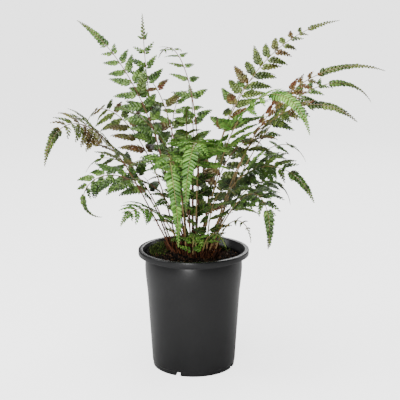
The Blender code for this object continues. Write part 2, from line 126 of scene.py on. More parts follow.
def paper_sweep():
    """Matte white paper. It gives the eye a plain pale ground with soft shadows.

    Only for camera rays it is lifted towards pure white, as a product photographer exposes it.
    """
    material, tree, shader = start_material("white_paper_sweep", 0.9, 0.2)
    grain = add_node(tree, "ShaderNodeTexNoise", {"Scale": 3.0, "Detail": 2.0})
    shade = ramp(tree, grain.outputs["Fac"], ((0.0, "#c4c4c4"), (1.0, "#cacaca")))
    tree.links.new(shade, shader.inputs["Base Color"])
    seen = add_node(tree, "ShaderNodeLightPath").outputs["Is Camera Ray"]
    lift = add_node(tree, "ShaderNodeMath", {0: seen, 1: WHITE_LIFT}, operation="MULTIPLY")
    shader.inputs["Emission Color"].default_value = linear("#ffffff")
    tree.links.new(lift.outputs[0], shader.inputs["Emission Strength"])
    return material


floor_mesh = bpy.data.meshes.new("floor")
floor_corners = [(x * FLOOR_REACH, y * FLOOR_REACH, 0) for x, y in ((-1, -1), (1, -1), (1, 1), (-1, 1))]
floor_mesh.from_pydata(floor_corners, [], [(0, 1, 2, 3)])
floor = bpy.data.objects.new("floor", floor_mesh)
bpy.context.scene.collection.objects.link(floor)
floor_mesh.materials.append(paper_sweep())

world = bpy.data.worlds.new("white_room")
bpy.context.scene.world = world
world.use_nodes = True
backdrop = world.node_tree.nodes["Background"]
backdrop.inputs["Color"].default_value = linear("#ffffff")
seen = add_node(world.node_tree, "ShaderNodeLightPath").outputs["Is Camera Ray"]
strength = add_node(
    world.node_tree, "ShaderNodeMapRange", {"Value": seen, "To Min": ROOM_LIGHT, "To Max": BACKDROP_LIGHT}
)
world.node_tree.links.new(strength.outputs["Result"], backdrop.inputs["Strength"])

# name: place, point it faces, width and height (m), watts
LIGHTS = {
    "key_softbox": ((-0.34, -1.6, 0.50), (0, 0, 0.22), 0.4, 0.4, 26),
    "rim_strip": ((1.4, 0.5, 0.7), (0, 0, 0.2), 0.25, 1.2, 4),
    "left_panel": ((-1.3, -0.2, 1.2), (0, 0, 0.25), 0.6, 1.0, 14),
    "top_panel": ((-0.1, -0.3, 1.8), (0, 0, 0.2), 0.8, 0.8, 38),
    "back_panel": ((0.3, 1.7, 1.2), (0, 0, 0.25), 0.9, 0.9, 14),
}
for name, (place, target, width, height, watts) in LIGHTS.items():
    lamp = bpy.data.lights.new(name, "AREA")
    lamp.shape = "RECTANGLE"
    lamp.size, lamp.size_y, lamp.energy = width, height, watts
    holder = bpy.data.objects.new(name, lamp)
    holder.location = place
    holder.rotation_euler = (Vector(target) - Vector(place)).to_track_quat("-Z", "Y").to_euler()
    bpy.context.scene.collection.objects.link(holder)
print("lights:", ", ".join(LIGHTS))

# %% [markdown]
# ## Meshes from whole arrays
#
# Every piece below is worked out as numpy arrays of points and of faces. One function turns such arrays
# into a mesh, and one class gathers many small closed shapes into the arrays of one piece.


# %% From arrays to a mesh
def mesh_piece(name, points, faces, marks=None):
    """A mesh object. Faces is a list of arrays, each (count, corners).

    Marks are named numbers, one for each point, that materials read.
    """
    mesh = bpy.data.meshes.new(name)
    sizes = np.concatenate([np.full(len(block), block.shape[1]) for block in faces])
    corners = np.concatenate([block.ravel() for block in faces]).astype(np.int32)
    mesh.vertices.add(len(points))
    mesh.vertices.foreach_set("co", np.asarray(points, dtype=np.float32).ravel())
    mesh.loops.add(len(corners))
    mesh.loops.foreach_set("vertex_index", corners)
    mesh.polygons.add(len(sizes))
    mesh.polygons.foreach_set("loop_start", np.concatenate([[0], np.cumsum(sizes)[:-1]]).astype(np.int32))
    for mark, values in (marks or {}).items():
        attribute = mesh.attributes.new(mark, "FLOAT", "POINT")
        attribute.data.foreach_set("value", np.asarray(values, dtype=np.float32))
    mesh.update(calc_edges=True)
    mesh.shade_smooth()
    piece = bpy.data.objects.new(name, mesh)
    bpy.context.scene.collection.objects.link(piece)
    return piece


def ring_faces(rings, sectors):
    """Faces of rings of points joined in a row: quads from each ring to the next, and a fan at each end.

    The middle point of the first fan is the one after the last ring, and that of the last fan comes next.
    """
    k = np.arange(sectors)
    after = (k + 1) % sectors
    low = (np.arange(rings - 1) * sectors)[:, None]
    walls = np.stack([low + k, low + after, low + sectors + after, low + sectors + k], axis=2)
    last, middle = (rings - 1) * sectors, rings * sectors
    first_fan = np.stack([np.full(sectors, middle), after, k], axis=1)
    last_fan = np.stack([last + k, last + after, np.full(sectors, middle + 1)], axis=1)
    return [walls.reshape(-1, 4), np.concatenate([first_fan, last_fan])]


class Gathering:
    """Points, faces and marks of many closed shapes that end up in one mesh."""

    def __init__(self, marks):
        self.points, self.count, self.faces = [], 0, {3: [], 4: []}
        self.marks = {mark: [] for mark in marks}

    def add(self, points, faces, **marks):
        """Takes in one shape: its points, its faces, and one number or one array for each mark."""
        self.points.append(points)
        for block in faces:
            self.faces[block.shape[1]].append(block + self.count)
        for mark, store in self.marks.items():
            store.append(np.broadcast_to(marks.get(mark, 0.0), len(points)))
        self.count += len(points)

    def piece(self, name):
        """One mesh object of all the shapes taken in."""
        faces = [np.concatenate(blocks) for blocks in self.faces.values() if blocks]
        marks = {mark: np.concatenate(store) for mark, store in self.marks.items()}
        return mesh_piece(name, np.concatenate(self.points), faces, marks)


# %% [markdown]
# ## How the fern stands
#
# These are the plant's own measures: how each frond leaves the crown, how far it leans, bends and turns,
# and how many pairs of leaflets (pinnae) it carries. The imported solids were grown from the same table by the
# same rule, so every fine leaf below lies along its solid. A pinna that would touch a neighbour is tried
# with more lift or slant, and shorter, until it is clear.

# %% Measures shared with the solids
# The pot, a tall one-gallon container
POT_HEIGHT = 180 * MM
RIM_RADIUS = 82.5 * MM
MOUTH_RADIUS = 76.5 * MM
NECK_RADIUS = 72.6 * MM
FOOT_RADIUS = 61.5 * MM
WALL = 1.8 * MM
LIP_DROP = 8 * MM
NECK_STEP = 10 * MM
FOOT_STEP = 7 * MM
DRAIN_BEARINGS = (-112, -22, 68, 158)
DRAIN_WIDTH = 8 * MM
DRAIN_HEIGHT = 6 * MM
DRAIN_DEPTH = 9 * MM

# The soil and the holes that the stems stand in
SOIL_LEVEL = 170 * MM
SOIL_SLOPE = -0.05
SOIL_MOUND = 9 * MM
MOUND_CENTRE = (-0.020, 0.012)
MOUND_RADIUS = 48 * MM
SOIL_WALL_LEVEL = 160 * MM
SOIL_GAP = 0.4 * MM
STEM_SUNK = 12 * MM

# What all fronds share
STEM_FOOT_RADIUS = 1.35 * MM
STEM_TIP_RADIUS = 0.6 * MM
STRAIGHT_FOOT = 22 * MM
PINNA_SEAT = 1.1 * MM
PINNA_WIDTH_SHARE = 0.23
PINNA_THICKNESS = 0.9 * MM
LOBE_SWEEP = 0.45
NOTCH = 0.5
CLEARANCE = 0.6 * MM
PATH_STEPS = 160
# Ways to hold a pinna, of which the first that touches nothing is taken: added lift and slant in degrees,
# and a share of its length
HOLDS = (
    (0, 0, 1.0),
    (14, 0, 1.0),
    (-14, 0, 1.0),
    (28, -8, 1.0),
    (-28, -8, 1.0),
    (0, -22, 0.85),
    (20, 10, 0.75),
    (-20, 10, 0.75),
    (40, -20, 0.7),
    (0, 0, 0.5),
    (-35, -20, 0.5),
)

# %% One line for each frond
# One line for each frond, as read off the photograph, and for the back from how such a plant grows.
# name: x and y of the foot (mm), heading, length (mm), lean from upright at the foot and at the tip,
# how late it bends, sideways turn, bare share of the stem, share of the rest that bears pinnae,
# pairs of pinnae, longest pinna (mm), roll, tone
FRONDS = {
    "frond_01": (-21, 12, 149, 408, 10, 70, 1.7, -12, 0.42, 0.74, 9, 42, 45, "green"),
    "frond_02": (-11, 10, 134, 358, 29, 2, 1.0, 0, 0.38, 0.90, 9, 42, 32, "green"),
    "frond_03": (3, 0, 109, 430, -11, 127, 1.9, 0, 0.46, 0.92, 8, 30, 0, "green"),
    "frond_04": (-19, 24, 115, 335, 24, 108, 2.5, -50, 0.42, 0.86, 7, 38, 0, "green"),
    "frond_05": (-31, -13, 206, 385, 28, 163, 3.1, 48, 0.42, 0.78, 11, 48, 40, "bronze"),
    "frond_06": (-24, 6, 154, 358, 15, 146, 2.0, -38, 0.42, 0.80, 8, 44, 45, "bronze"),
    "frond_07": (-34, -3, 190, 256, 17, 272, 2.5, -1, 0.34, 0.78, 9, 42, 45, "green"),
    "frond_08": (-22, -16, 210, 186, 4, 118, 0.9, 46, 0.36, 0.78, 6, 38, 25, "young"),
    "frond_09": (-11, -23, -118, 387, 3, 187, 1.5, 48, 0.36, 0.62, 10, 50, 0, "young"),
    "frond_10": (3, -24, -77, 367, 3, 189, 1.9, -28, 0.40, 0.62, 10, 50, 0, "young"),
    "frond_11": (13, 14, 37, 440, 7, 84, 1.8, -21, 0.42, 0.84, 13, 38, -50, "bronze"),
    "frond_12": (27, -1, 3, 414, 15, 110, 2.4, -12, 0.46, 0.62, 9, 32, -45, "bronze"),
    "frond_13": (15, 5, 12, 405, 26, 150, 3.5, 6, 0.48, 0.68, 8, 34, -45, "green"),
    "frond_14": (23, -9, -42, 388, 18, 126, 2.4, 2, 0.46, 0.68, 9, 42, -40, "bronze"),
    "frond_15": (10, -9, -58, 420, 19, 160, 3.0, 0, 0.42, 0.64, 9, 50, -35, "young"),
    "frond_16": (19, -15, -38, 270, 30, 228, 2.6, -46, 0.34, 0.74, 8, 46, -25, "green"),
    "frond_17": (33, -8, -34, 286, 0, 152, 1.5, -12, 0.34, 0.76, 9, 50, -35, "green"),
    "frond_18": (25, 11, 26, 226, 22, 170, 1.8, 18, 0.34, 0.72, 7, 42, -40, "green"),
    "frond_19": (29, -19, -36, 135, 18, 177, 2.1, -30, 0.40, 0.85, 5, 12, -30, "green"),
    "frond_20": (4, 8, 10, 226, 17, 150, 4.0, 35, 0.28, 0.78, 8, 40, -45, "bronze"),
    "frond_21": (-1, 18, 86, 300, 5, 90, 2.0, 10, 0.32, 0.82, 6, 40, 0, "green"),
    "frond_22": (13, 24, 58, 380, 14, 112, 2.2, 0, 0.36, 0.80, 5, 44, -20, "green"),
    "frond_23": (-9, 16, 114, 370, 14, 118, 2.3, 0, 0.36, 0.80, 5, 44, 20, "bronze"),
    "frond_24": (-2, 28, 90, 285, 24, 146, 2.2, 6, 0.32, 0.80, 5, 42, 0, "green"),
    "frond_25": (22, 21, 40, 300, 28, 150, 2.2, 6, 0.36, 0.80, 5, 42, -30, "green"),
    "frond_26": (-32, 20, 146, 245, 26, 150, 2.2, -6, 0.36, 0.80, 5, 42, 30, "green"),
    "frond_27": (-5, -12, -100, 285, 4, 84, 2.2, 12, 0.20, 0.84, 9, 44, -30, "green"),
    "frond_28": (-9, -3, -140, 270, 6, 78, 2.2, -12, 0.20, 0.82, 7, 44, 30, "green"),
    "frond_29": (-12, -11, -125, 235, 8, 120, 2.0, 0, 0.18, 0.80, 8, 40, 20, "green"),
    "frond_30": (13, -24, -62, 98, 10, 140, 1.3, 0, 0.16, 0.75, 5, 26, 0, "young"),
    "frond_31": (-1, -31, -88, 84, 4, 130, 1.3, 0, 0.16, 0.75, 4, 24, 0, "young"),
    "frond_32": (19, -23, -66, 172, 6, 112, 2.0, 0, 0.14, 0.80, 7, 36, -15, "green"),
    "frond_33": (-3, -20, -128, 185, 4, 108, 2.0, 0, 0.14, 0.80, 6, 36, 15, "green"),
    "frond_34": (-15, -19, 216, 178, 12, 100, 2.0, 0, 0.14, 0.80, 6, 36, 20, "green"),
}


# %% The course of a stem
def wall_radius(height, inset=0.0):
    """Outer radius of the pot's tapered wall at a height, less an inset."""
    share = (height - FOOT_STEP) / (POT_HEIGHT - LIP_DROP - FOOT_STEP)
    return FOOT_RADIUS + 1.0 * MM + (NECK_RADIUS - FOOT_RADIUS - 1.0 * MM) * share - inset


def soil_height(x, y):
    """Height of the soil's surface without its lumps: a slight slope, with a round mound under the crown."""
    away = math.hypot(x - MOUND_CENTRE[0], y - MOUND_CENTRE[1]) / MOUND_RADIUS
    return SOIL_LEVEL + SOIL_SLOPE * x + SOIL_MOUND * math.exp(-away * away)


class Stem:
    """A frond's stem: its course from the soil to the frond's tip, and the frame at any length along it.

    At a share t of the length, the lean is that of the foot plus (that of the tip minus that of the foot)
    times t to the power bend. The heading turns evenly. The course is the sum of short steps that way.
    """

    def __init__(self, name, row):
        foot_x, foot_y, heading, length, lean, tip_lean, bend, turn, *blade = row
        bare, leafy, pairs, pinna, roll, tone = blade
        self.name, self.tone, self.pairs, self.bare, self.leafy = name, tone, pairs, bare, leafy
        self.length = length * MM
        self.pinna = pinna * MM
        self.roll = math.radians(roll)
        foot_x, foot_y = foot_x * MM, foot_y * MM
        self.foot = np.array((foot_x, foot_y, soil_height(foot_x, foot_y)))
        share = (np.arange(PATH_STEPS) + 0.5) / PATH_STEPS
        self.lean = np.radians(lean + (tip_lean - lean) * share**bend)
        self.heading = np.radians(heading + turn * share)
        step = np.stack(
            [
                np.sin(self.lean) * np.cos(self.heading),
                np.sin(self.lean) * np.sin(self.heading),
                np.cos(self.lean),
            ],
            axis=1,
        )
        course = np.cumsum(step * self.length / PATH_STEPS, axis=0)
        self.course = np.vstack([np.zeros(3), course]) + self.foot

    def frame(self, share):
        """Point, direction, sideways and upward vectors at a share of the length, 0 at the sunk foot."""
        sunk = STEM_SUNK / self.length
        place = share * (1 + sunk) - sunk
        index = min(max(place, 0.0) * PATH_STEPS, PATH_STEPS - 1e-6)
        cell = int(index)
        lean = np.interp(index - 0.5, np.arange(PATH_STEPS), self.lean)
        heading = np.interp(index - 0.5, np.arange(PATH_STEPS), self.heading)
        flat = math.sin(lean)
        along = Vector((flat * math.cos(heading), flat * math.sin(heading), math.cos(lean)))
        point = self.course[cell] + (self.course[cell + 1] - self.course[cell]) * (index - cell)
        point = Vector(point) + along * min(place, 0.0) * self.length
        side = Vector((math.sin(heading), -math.cos(heading), 0))
        up = side.cross(along)
        turn = self.roll * max(0.0, min(1.0, (share - self.bare) / 0.2))
        rolled_side = side * math.cos(turn) + up * math.sin(turn)
        return point, along, rolled_side, up * math.cos(turn) - side * math.sin(turn)

    def radius(self, share):
        """Radius of the stem at a share of its length: it gets thinner in a straight line, then stays."""
        return STEM_FOOT_RADIUS + (STEM_TIP_RADIUS - STEM_FOOT_RADIUS) * min(1.0, share * 1.15)

    def pair_share(self, pair):
        """Where along the stem a pair of pinnae sits: closer together towards the tip."""
        ahead = (pair + 0.3) / self.pairs
        return self.bare + (1 - self.bare) * self.leafy * ahead**0.92

    def pinna_length(self, pair):
        """Longest a quarter of the way up the blade, and short near the tip."""
        ahead = (pair + 0.3) / self.pairs
        return self.pinna * (0.80 + 0.9 * ahead) * (1 - ahead) ** 0.80 * 1.25

    def tip_half(self):
        """Half width where the tip blade begins. It is narrower where pinnae reach further up the frond."""
        return self.pinna * 0.21 * ((1 - self.leafy) / 0.36) ** 0.7

    def stations(self, pair):
        """How many steps of its outline a pinna of that pair has."""
        length = self.pinna_length(pair)
        return 5 if length > 56 * MM else 4 if length > 37 * MM else 3 if length > 18 * MM else 2


# %% The pose of a pinna
def pinna_pose(stem, pair, side_sign, hold, draw):
    """Root, direction, front edge and upper side of a pinna, its length and how far it arches down."""
    lift, slant, share = hold
    point, along, side, up = stem.frame(stem.pair_share(pair))
    ahead = pair / max(1, stem.pairs - 1)
    spread = math.radians(64 - 22 * ahead + slant + draw[0] * 8)
    raised = math.radians(8 + lift + draw[1] * 12)
    flat = along * math.cos(spread) + side * side_sign * math.sin(spread)
    direction = (flat * math.cos(raised) + up * math.sin(raised)).normalized()
    level = 0.25 * max(0.0, along.z)
    face = up * (1 - level) + Vector((0, 0, 1)) * level
    face = (face - direction * face.dot(direction)).normalized()
    edge = face.cross(direction)
    if edge.dot(along) < 0:
        edge = -edge
    length = stem.pinna_length(pair) * share * (1 + 0.08 * draw[2])
    arch = math.radians(46 + 22 * draw[3])
    root = point + side * side_sign * stem.radius(stem.pair_share(pair)) * 0.5
    return root, direction, edge, face, length, arch


def pinna_point(pose, ahead):
    """Point, direction and upper side at a share of a pinna's length, which bends down along an arc."""
    root, direction, edge, face, length, arch = pose
    angle = arch * ahead
    point = root + (direction * math.sin(angle) - face * (1 - math.cos(angle))) * (length / arch)
    return (
        point + edge * length * 0.05 * ahead * ahead,
        direction * math.cos(angle) - face * math.sin(angle),
        face * math.cos(angle) + direction * math.sin(angle),
    )


def pinna_rings(pose, steps, grow=0.0):
    """Three corners at each station: rear edge, front edge and keel. Lobes lie now in front, now behind."""
    edge, length = pose[2], pose[4]
    rings = []
    for k in range(steps):
        ahead = 0.08 + 0.78 * k / (steps - 1)
        point, direction, face = pinna_point(pose, ahead)
        half = length * PINNA_WIDTH_SHARE * min(1.0, 0.5 + 4 * ahead) * (1 - ahead) ** 0.75 + 0.3 * MM
        front = half * (1.0 if k % 2 == 0 else NOTCH) + grow
        rear = half * (NOTCH if k % 2 == 0 else 1.0) + grow
        thick = PINNA_THICKNESS * (1 - 0.3 * ahead)
        rings.append(
            (
                point - edge * rear + direction * rear * LOBE_SWEEP + face * grow,
                point + edge * front + direction * front * LOBE_SWEEP + face * grow,
                point - face * (thick + grow),
            )
        )
    tip, direction, _ = pinna_point(pose, 1.0)
    return rings, tip + direction * grow


def closed_rings(rings, tip):
    """Points and faces of three-cornered rings joined in a row, closed at both ends."""
    points = [p for ring in rings for p in ring] + [tip]
    faces = [(0, 1, 2)]
    for k in range(len(rings) - 1):
        a, b = 3 * k, 3 * k + 3
        for i in range(3):
            j = (i + 1) % 3
            faces += [(a + i, a + j, b + j), (a + i, b + j, b + i)]
    last, end = 3 * (len(rings) - 1), len(points) - 1
    faces += [(last + i, last + (i + 1) % 3, end) for i in range(3)]
    return points, faces


# %% Keeping pinnae clear of one another
class Obstacles:
    """Closed shapes already placed, each with its box, and a test of a new shape against them."""

    def __init__(self):
        self.trees, self.lows, self.highs, self.owners = [], [], [], []

    def add(self, points, faces, owner):
        """Keeps a shape, with its box and its owner."""
        corners = np.array([tuple(p) for p in points])
        self.trees.append(BVHTree.FromPolygons([tuple(p) for p in points], faces))
        self.lows.append(corners.min(axis=0))
        self.highs.append(corners.max(axis=0))
        self.owners.append(owner)

    def hit(self, points, faces, skip):
        """Whether a new shape cuts one that is kept, apart from those of the owner to skip."""
        corners = np.array([tuple(p) for p in points])
        low, high = corners.min(axis=0), corners.max(axis=0)
        near = (np.array(self.lows) <= high).all(axis=1) & (np.array(self.highs) >= low).all(axis=1)
        tree = None
        for k in np.flatnonzero(near):
            if self.owners[k] == skip:
                continue
            tree = tree or BVHTree.FromPolygons([tuple(p) for p in points], faces)
            if tree.overlap(self.trees[k]):
                return True
        return False


def stem_shares(stem):
    """Shares of the length where the stem has a ring, and for each gap the pair of pinnae that it seats."""
    straight = (STEM_SUNK + STRAIGHT_FOOT * 0.5) / (stem.length + STEM_SUNK)
    seat = PINNA_SEAT / stem.length
    first = stem.pair_share(0) - seat
    bare_steps = 3
    shares = [0.0] + list(np.linspace(straight, first, bare_steps))
    seats = {}
    for pair in range(stem.pairs):
        share = stem.pair_share(pair)
        if pair:
            shares.append(share - seat)
        seats[len(shares) - 1] = pair
        shares.append(share + seat)
    return shares, seats


def stem_ring(stem, share, grow=0.0):
    """Left, right and lower corner of the stem."""
    point, _, side, up = stem.frame(share)
    radius = stem.radius(share) + grow
    return (
        point - side * radius * 0.87 + up * radius * 0.5,
        point + side * radius * 0.87 + up * radius * 0.5,
        point - up * radius,
    )


def tip_rings(stem, start, grow=0.0):
    """The frond's narrow toothed end, in which the pinnae run together into one blade."""
    steps = 6 if (1 - start) * stem.length > 50 * MM else 4
    rings = []
    for k in range(steps):
        ahead = (k + 0.6) / (steps + 0.4)
        share = start + (1 - start) * ahead
        point, along, side, up = stem.frame(share)
        half = stem.tip_half() * (1 - ahead) ** 0.8 + 0.4 * MM
        left = half * (1.0 if k % 2 == 0 else NOTCH) + grow
        right = half * (NOTCH if k % 2 == 0 else 1.0) + grow
        rings.append(
            (
                point - side * left + along * left * LOBE_SWEEP + up * grow,
                point + side * right + along * right * LOBE_SWEEP + up * grow,
                point - up * (PINNA_THICKNESS * (1 - 0.3 * ahead) + grow),
            )
        )
    return rings, stem.frame(1.0)[0]


def pinnae_of(stem, obstacles):
    """The pose of each pinna that has room, by pair and side. A pinna with no room anywhere is left out."""
    draw = random.Random(stem.name)
    poses = {}
    for pair in range(stem.pairs):
        for side_sign in (-1, 1):
            luck = [draw.uniform(-1, 1) for _ in range(4)]
            for hold in HOLDS:
                pose = pinna_pose(stem, pair, side_sign, hold, luck)
                shape = closed_rings(*pinna_rings(pose, stem.stations(pair), CLEARANCE))
                if not obstacles.hit(*shape, skip=stem.name + " stem"):
                    poses[pair, side_sign] = pose
                    obstacles.add(*shape, owner=stem.name)
                    break
    return poses


def holder_shape():
    """The pot and the soil as one plain shape that no pinna may touch: a drum a little over full size."""
    sides = 24
    points, faces = [], []
    outline = (
        (FOOT_RADIUS, 0.0),
        (RIM_RADIUS + 1 * MM, POT_HEIGHT - LIP_DROP),
        (RIM_RADIUS + 1 * MM, POT_HEIGHT + 1 * MM),
        (MOUTH_RADIUS - 2 * MM, POT_HEIGHT + 1 * MM),
    )
    for radius, height in outline:
        points += [
            (radius * math.cos(2 * math.pi * k / sides), radius * math.sin(2 * math.pi * k / sides), height)
            for k in range(sides)
        ]
    points += [
        (x * 0.8, y * 0.8, soil_height(x * 0.8, y * 0.8) + 3 * MM) for x, y, _ in points[3 * sides :]
    ]
    for ring in range(4):
        for k in range(sides):
            after = (k + 1) % sides
            low = ring * sides
            faces.append((low + k, low + after, low + sides + after, low + sides + k))
    top = len(points)
    points.append((0, 0, soil_height(0, 0) + 3 * MM))
    faces += [(4 * sides + k, 4 * sides + (k + 1) % sides, top) for k in range(sides)]
    return points, faces


# %% Find the place of every pinna
stems = [Stem(name, row) for name, row in FRONDS.items()]
obstacles = Obstacles()
obstacles.add(*holder_shape(), owner="holder")
for stem in stems:
    shares, _ = stem_shares(stem)
    bare = [stem_ring(stem, share, CLEARANCE) for share in shares]
    rings, tip = tip_rings(stem, shares[-1], CLEARANCE)
    obstacles.add(*closed_rings(bare + rings, tip), owner=stem.name + " stem")
poses = {stem.name: pinnae_of(stem, obstacles) for stem in stems}
print("pinnae placed:", sum(len(found) for found in poses.values()), "on", len(stems), "fronds")

# %% [markdown]
# ## The leaves
#
# A real pinna is cut to its midrib into small toothed segments, the pinnules. Each pinnule is thin, folded
# a little along its own vein and swept towards the pinna's tip. It could be a flat card with a picture on it,
# but it would catch no light along its fold. So it is drawn as a closed lens of a few dozen faces: a grid of
# rows from root to tip by three columns, edge, vein and edge, over a second vein below it.

# %% Pinnules, all of a frond at once
# Rows from root to tip, and how far the front and the rear edge stand out there, in half widths
ROW_PLACE = np.array([0.0, 0.14, 0.30, 0.46, 0.62, 0.76, 0.89, 1.0])
FRONT_EDGE = np.array([1.20, 1.24, 1.04, 1.10, 0.82, 0.78, 0.42, 0.05])
REAR_EDGE = np.array([1.15, 1.10, 0.94, 0.94, 0.70, 0.64, 0.34, 0.05])
ROWS = len(ROW_PLACE)
LEAF_THICKNESS = 0.35 * MM


def blade_faces(count):
    """Quads of that many blades: two strips above, and two strips below that share the outer edges."""
    row = np.arange(ROWS - 1)
    top = np.arange(ROWS * 3).reshape(ROWS, 3)
    vein_below = np.concatenate([[top[0, 1]], ROWS * 3 + np.arange(ROWS - 2), [top[-1, 1]]])
    rear, vein, front = top.T
    strips = [
        np.stack([left[row], left[row + 1], right[row + 1], right[row]], axis=1)
        for left, right in ((rear, vein), (vein, front), (vein_below, rear), (front, vein_below))
    ]
    one = np.concatenate(strips)
    size = ROWS * 3 + ROWS - 2
    return (one[None] + np.arange(count)[:, None, None] * size).reshape(-1, 4)


# Factors on the half width of each row, for the pinnules of a frond's tip, which are narrow at their root
NARROW_BASE = np.array([0.72, 0.92, 1.0, 1.0, 1.05, 1.1, 1.1, 1.0])


def blades(root, out, ahead, up, length, width, droop, fold, base=1.0):
    """Closed leaf blades. All inputs have one row per blade.

    A point at share s of the length and at column c lies at: root, plus out times length times s, plus
    ahead times the toothed half width of that row times c, plus ahead times a forward curve that grows
    with s squared, plus up times (fold at the edges, minus a droop that grows with s squared). The lower
    vein lies one leaf thickness under the upper one. Base is a factor on the half width of each row.
    """
    s = ROW_PLACE[None, :, None]
    side = np.stack([-REAR_EDGE * base, np.zeros(ROWS), FRONT_EDGE * base], axis=1)[None]
    length, width, droop, fold = (v[:, None, None] for v in (length, width, droop, fold))
    forward = side * width / 2 + 0.22 * length * s * s
    reach = length * s + 0.10 * np.abs(side) * width
    height = fold * np.abs(side) * width / 2 - droop * length * s * s
    top = (
        root[:, None, None]
        + out[:, None, None] * reach[..., None]
        + ahead[:, None, None] * forward[..., None]
        + up[:, None, None] * height[..., None]
    )
    below = top[:, 1:-1, 1] - up[:, None] * LEAF_THICKNESS
    points = np.concatenate([top.reshape(len(root), -1, 3), below], axis=1)
    return points.reshape(-1, 3), [blade_faces(len(root))]


# %% Tubes for stalks and ribs
def tube(centre, side, up, radius, sides):
    """A closed tube: ring points are centre plus radius times (side times cosine plus up times sine)."""
    angle = np.arange(sides) * 2 * np.pi / sides
    spoke = side[:, None] * np.cos(angle)[None, :, None] + up[:, None] * np.sin(angle)[None, :, None]
    ring = centre[:, None] + spoke * radius[:, None, None]
    points = np.concatenate([ring.reshape(-1, 3), centre[:1], centre[-1:]])
    return points, ring_faces(len(centre), sides)


# %% A finer pinna
PINNULE_SPACING = 5.0 * MM


def across(vectors, others):
    """Row by row cross product, made unit length."""
    made = np.cross(vectors, others)
    return made / np.linalg.norm(made, axis=1, keepdims=True)


def lay_pinnules(gathering, centre, along, face, half, spacing, luck, blush, base=1.0):
    """Pairs of pinnules on a rib. Each is as long as the leaf is half wide there, and leans ahead."""
    for sign in (-1, 1):
        edge = across(face, along) * sign
        count = len(centre)
        lean = 0.40 + 0.06 * luck.uniform(-1, 1, count)
        out = edge * np.cos(lean)[:, None] + along * np.sin(lean)[:, None]
        tilt = 0.04 + 0.09 * luck.uniform(-1, 1, count)
        out = out * np.cos(tilt)[:, None] + face * np.sin(tilt)[:, None]
        ahead = across(out, face) * sign
        ahead = np.where(np.sum(ahead * along, axis=1, keepdims=True) < 0, -ahead, ahead)
        up = across(ahead, out)
        up = np.where(np.sum(up * face, axis=1, keepdims=True) < 0, -up, up)
        length = (half + 0.4 * MM) * (1.16 + 0.10 * luck.uniform(-1, 1, count))
        width = spacing * (1.12 + 0.10 * luck.uniform(-1, 1, count))
        width = np.minimum(width, length * 0.9)
        root = centre + along * (spacing * 0.5 * (sign > 0))[:, None] - out * 0.25 * MM
        droop = 0.12 + 0.08 * luck.uniform(-1, 1, count)
        fold = 0.11 + 0.06 * luck.uniform(-1, 1, count)
        points, faces = blades(root, out, ahead, up, length, width, droop, fold, base)
        if sign < 0:
            faces = [block[:, ::-1] for block in faces]
        shade = np.repeat(luck.uniform(0, 1, count), ROWS * 4 - 2)
        edge_mark = np.concatenate([np.tile([1.0, 0.0, 1.0], ROWS), np.zeros(ROWS - 2)])
        gathering.add(points, faces, stalk=0.0, blush=blush, shade=shade, edge=np.tile(edge_mark, count))


def pinna_half(length, ahead):
    """Half the width of a pinna at a share of its length, as its solid has it."""
    return length * PINNA_WIDTH_SHARE * np.minimum(1.0, 0.5 + 4 * ahead) * (1 - ahead) ** 0.75 + 0.3 * MM


def pinna_course(pose, ahead):
    """Places, directions and upper sides along a pinna's rib, for an array of shares of its length."""
    found = [pinna_point(pose, a) for a in ahead]
    return tuple(np.array([tuple(item[k]) for item in found]) for k in range(3))


def add_pinna(gathering, pose, luck, blush):
    """A rib and its pairs of pinnules, which get shorter and closer together towards the tip."""
    length = pose[4]
    ahead = np.linspace(0, 1, 12)
    centre, along, face = pinna_course(pose, ahead)
    side = across(along, face)
    radius = (0.42 - 0.30 * ahead) * MM
    gathering.add(*tube(centre, side, face, radius, 4), stalk=0.75, blush=blush, shade=0.5)
    pairs = max(4, int(round(length / PINNULE_SPACING)))
    step = (np.arange(pairs) + 0.35) / (pairs + 0.15)
    place = 0.04 + 0.95 * (1 - (1 - step) ** 1.12)
    centre, along, face = pinna_course(pose, place)
    spacing = np.gradient(place) * length
    lay_pinnules(gathering, centre, along, face, pinna_half(length, place), spacing, luck, blush)


# %% [markdown]
# ## The fronds
#
# A frond's stalk is bare for nearly half its length, with papery brown scales near its foot. The blade
# narrows into a long toothed tip, where the pinnae run together and become single pinnules. Each frond is one
# piece, and stands for one solid of the frame.

# %% Grow a frond
FROND_MARKS = ("stalk", "blush", "shade", "edge")
# tone: how much its pinnae flush bronze, and how far single ones depart from that
BLUSH = {"green": (0.08, 0.28), "bronze": (0.34, 0.46), "young": (0.0, 0.10)}
RUSTY_FROND = "frond_12"
RUSTY_BLUSH = (0.85, 0.15)


def stem_course(stem, shares):
    """Places and directions along a stem, for an array of shares of its length."""
    found = [stem.frame(share) for share in shares]
    return tuple(np.array([tuple(item[k]) for item in found]) for k in range(4))


def add_scales(gathering, stem, luck):
    """Papery scales on the lowest part of a stalk: thin blades that point up and stand off a little."""
    count = 16 if stem.length > 200 * MM else 5
    shares = luck.uniform(0.04, 0.20, count)
    centre, along, side, up = stem_course(stem, shares)
    turn = luck.uniform(0, 2 * np.pi, count)[:, None]
    away = side * np.cos(turn) + up * np.sin(turn)
    out = along * 0.85 + away * 0.5
    out = out / np.linalg.norm(out, axis=1, keepdims=True)
    ahead = across(out, away)
    face = across(ahead, out)
    size = luck.uniform(3.0, 5.5, count) * MM
    root = centre + away * 0.8 * MM
    droop, fold = np.full(count, 0.15), np.full(count, 0.2)
    points, faces = blades(root, out, ahead, face, size, size * 0.26, droop, fold)
    gathering.add(points, faces, stalk=1.0, blush=0.8, shade=0.2)


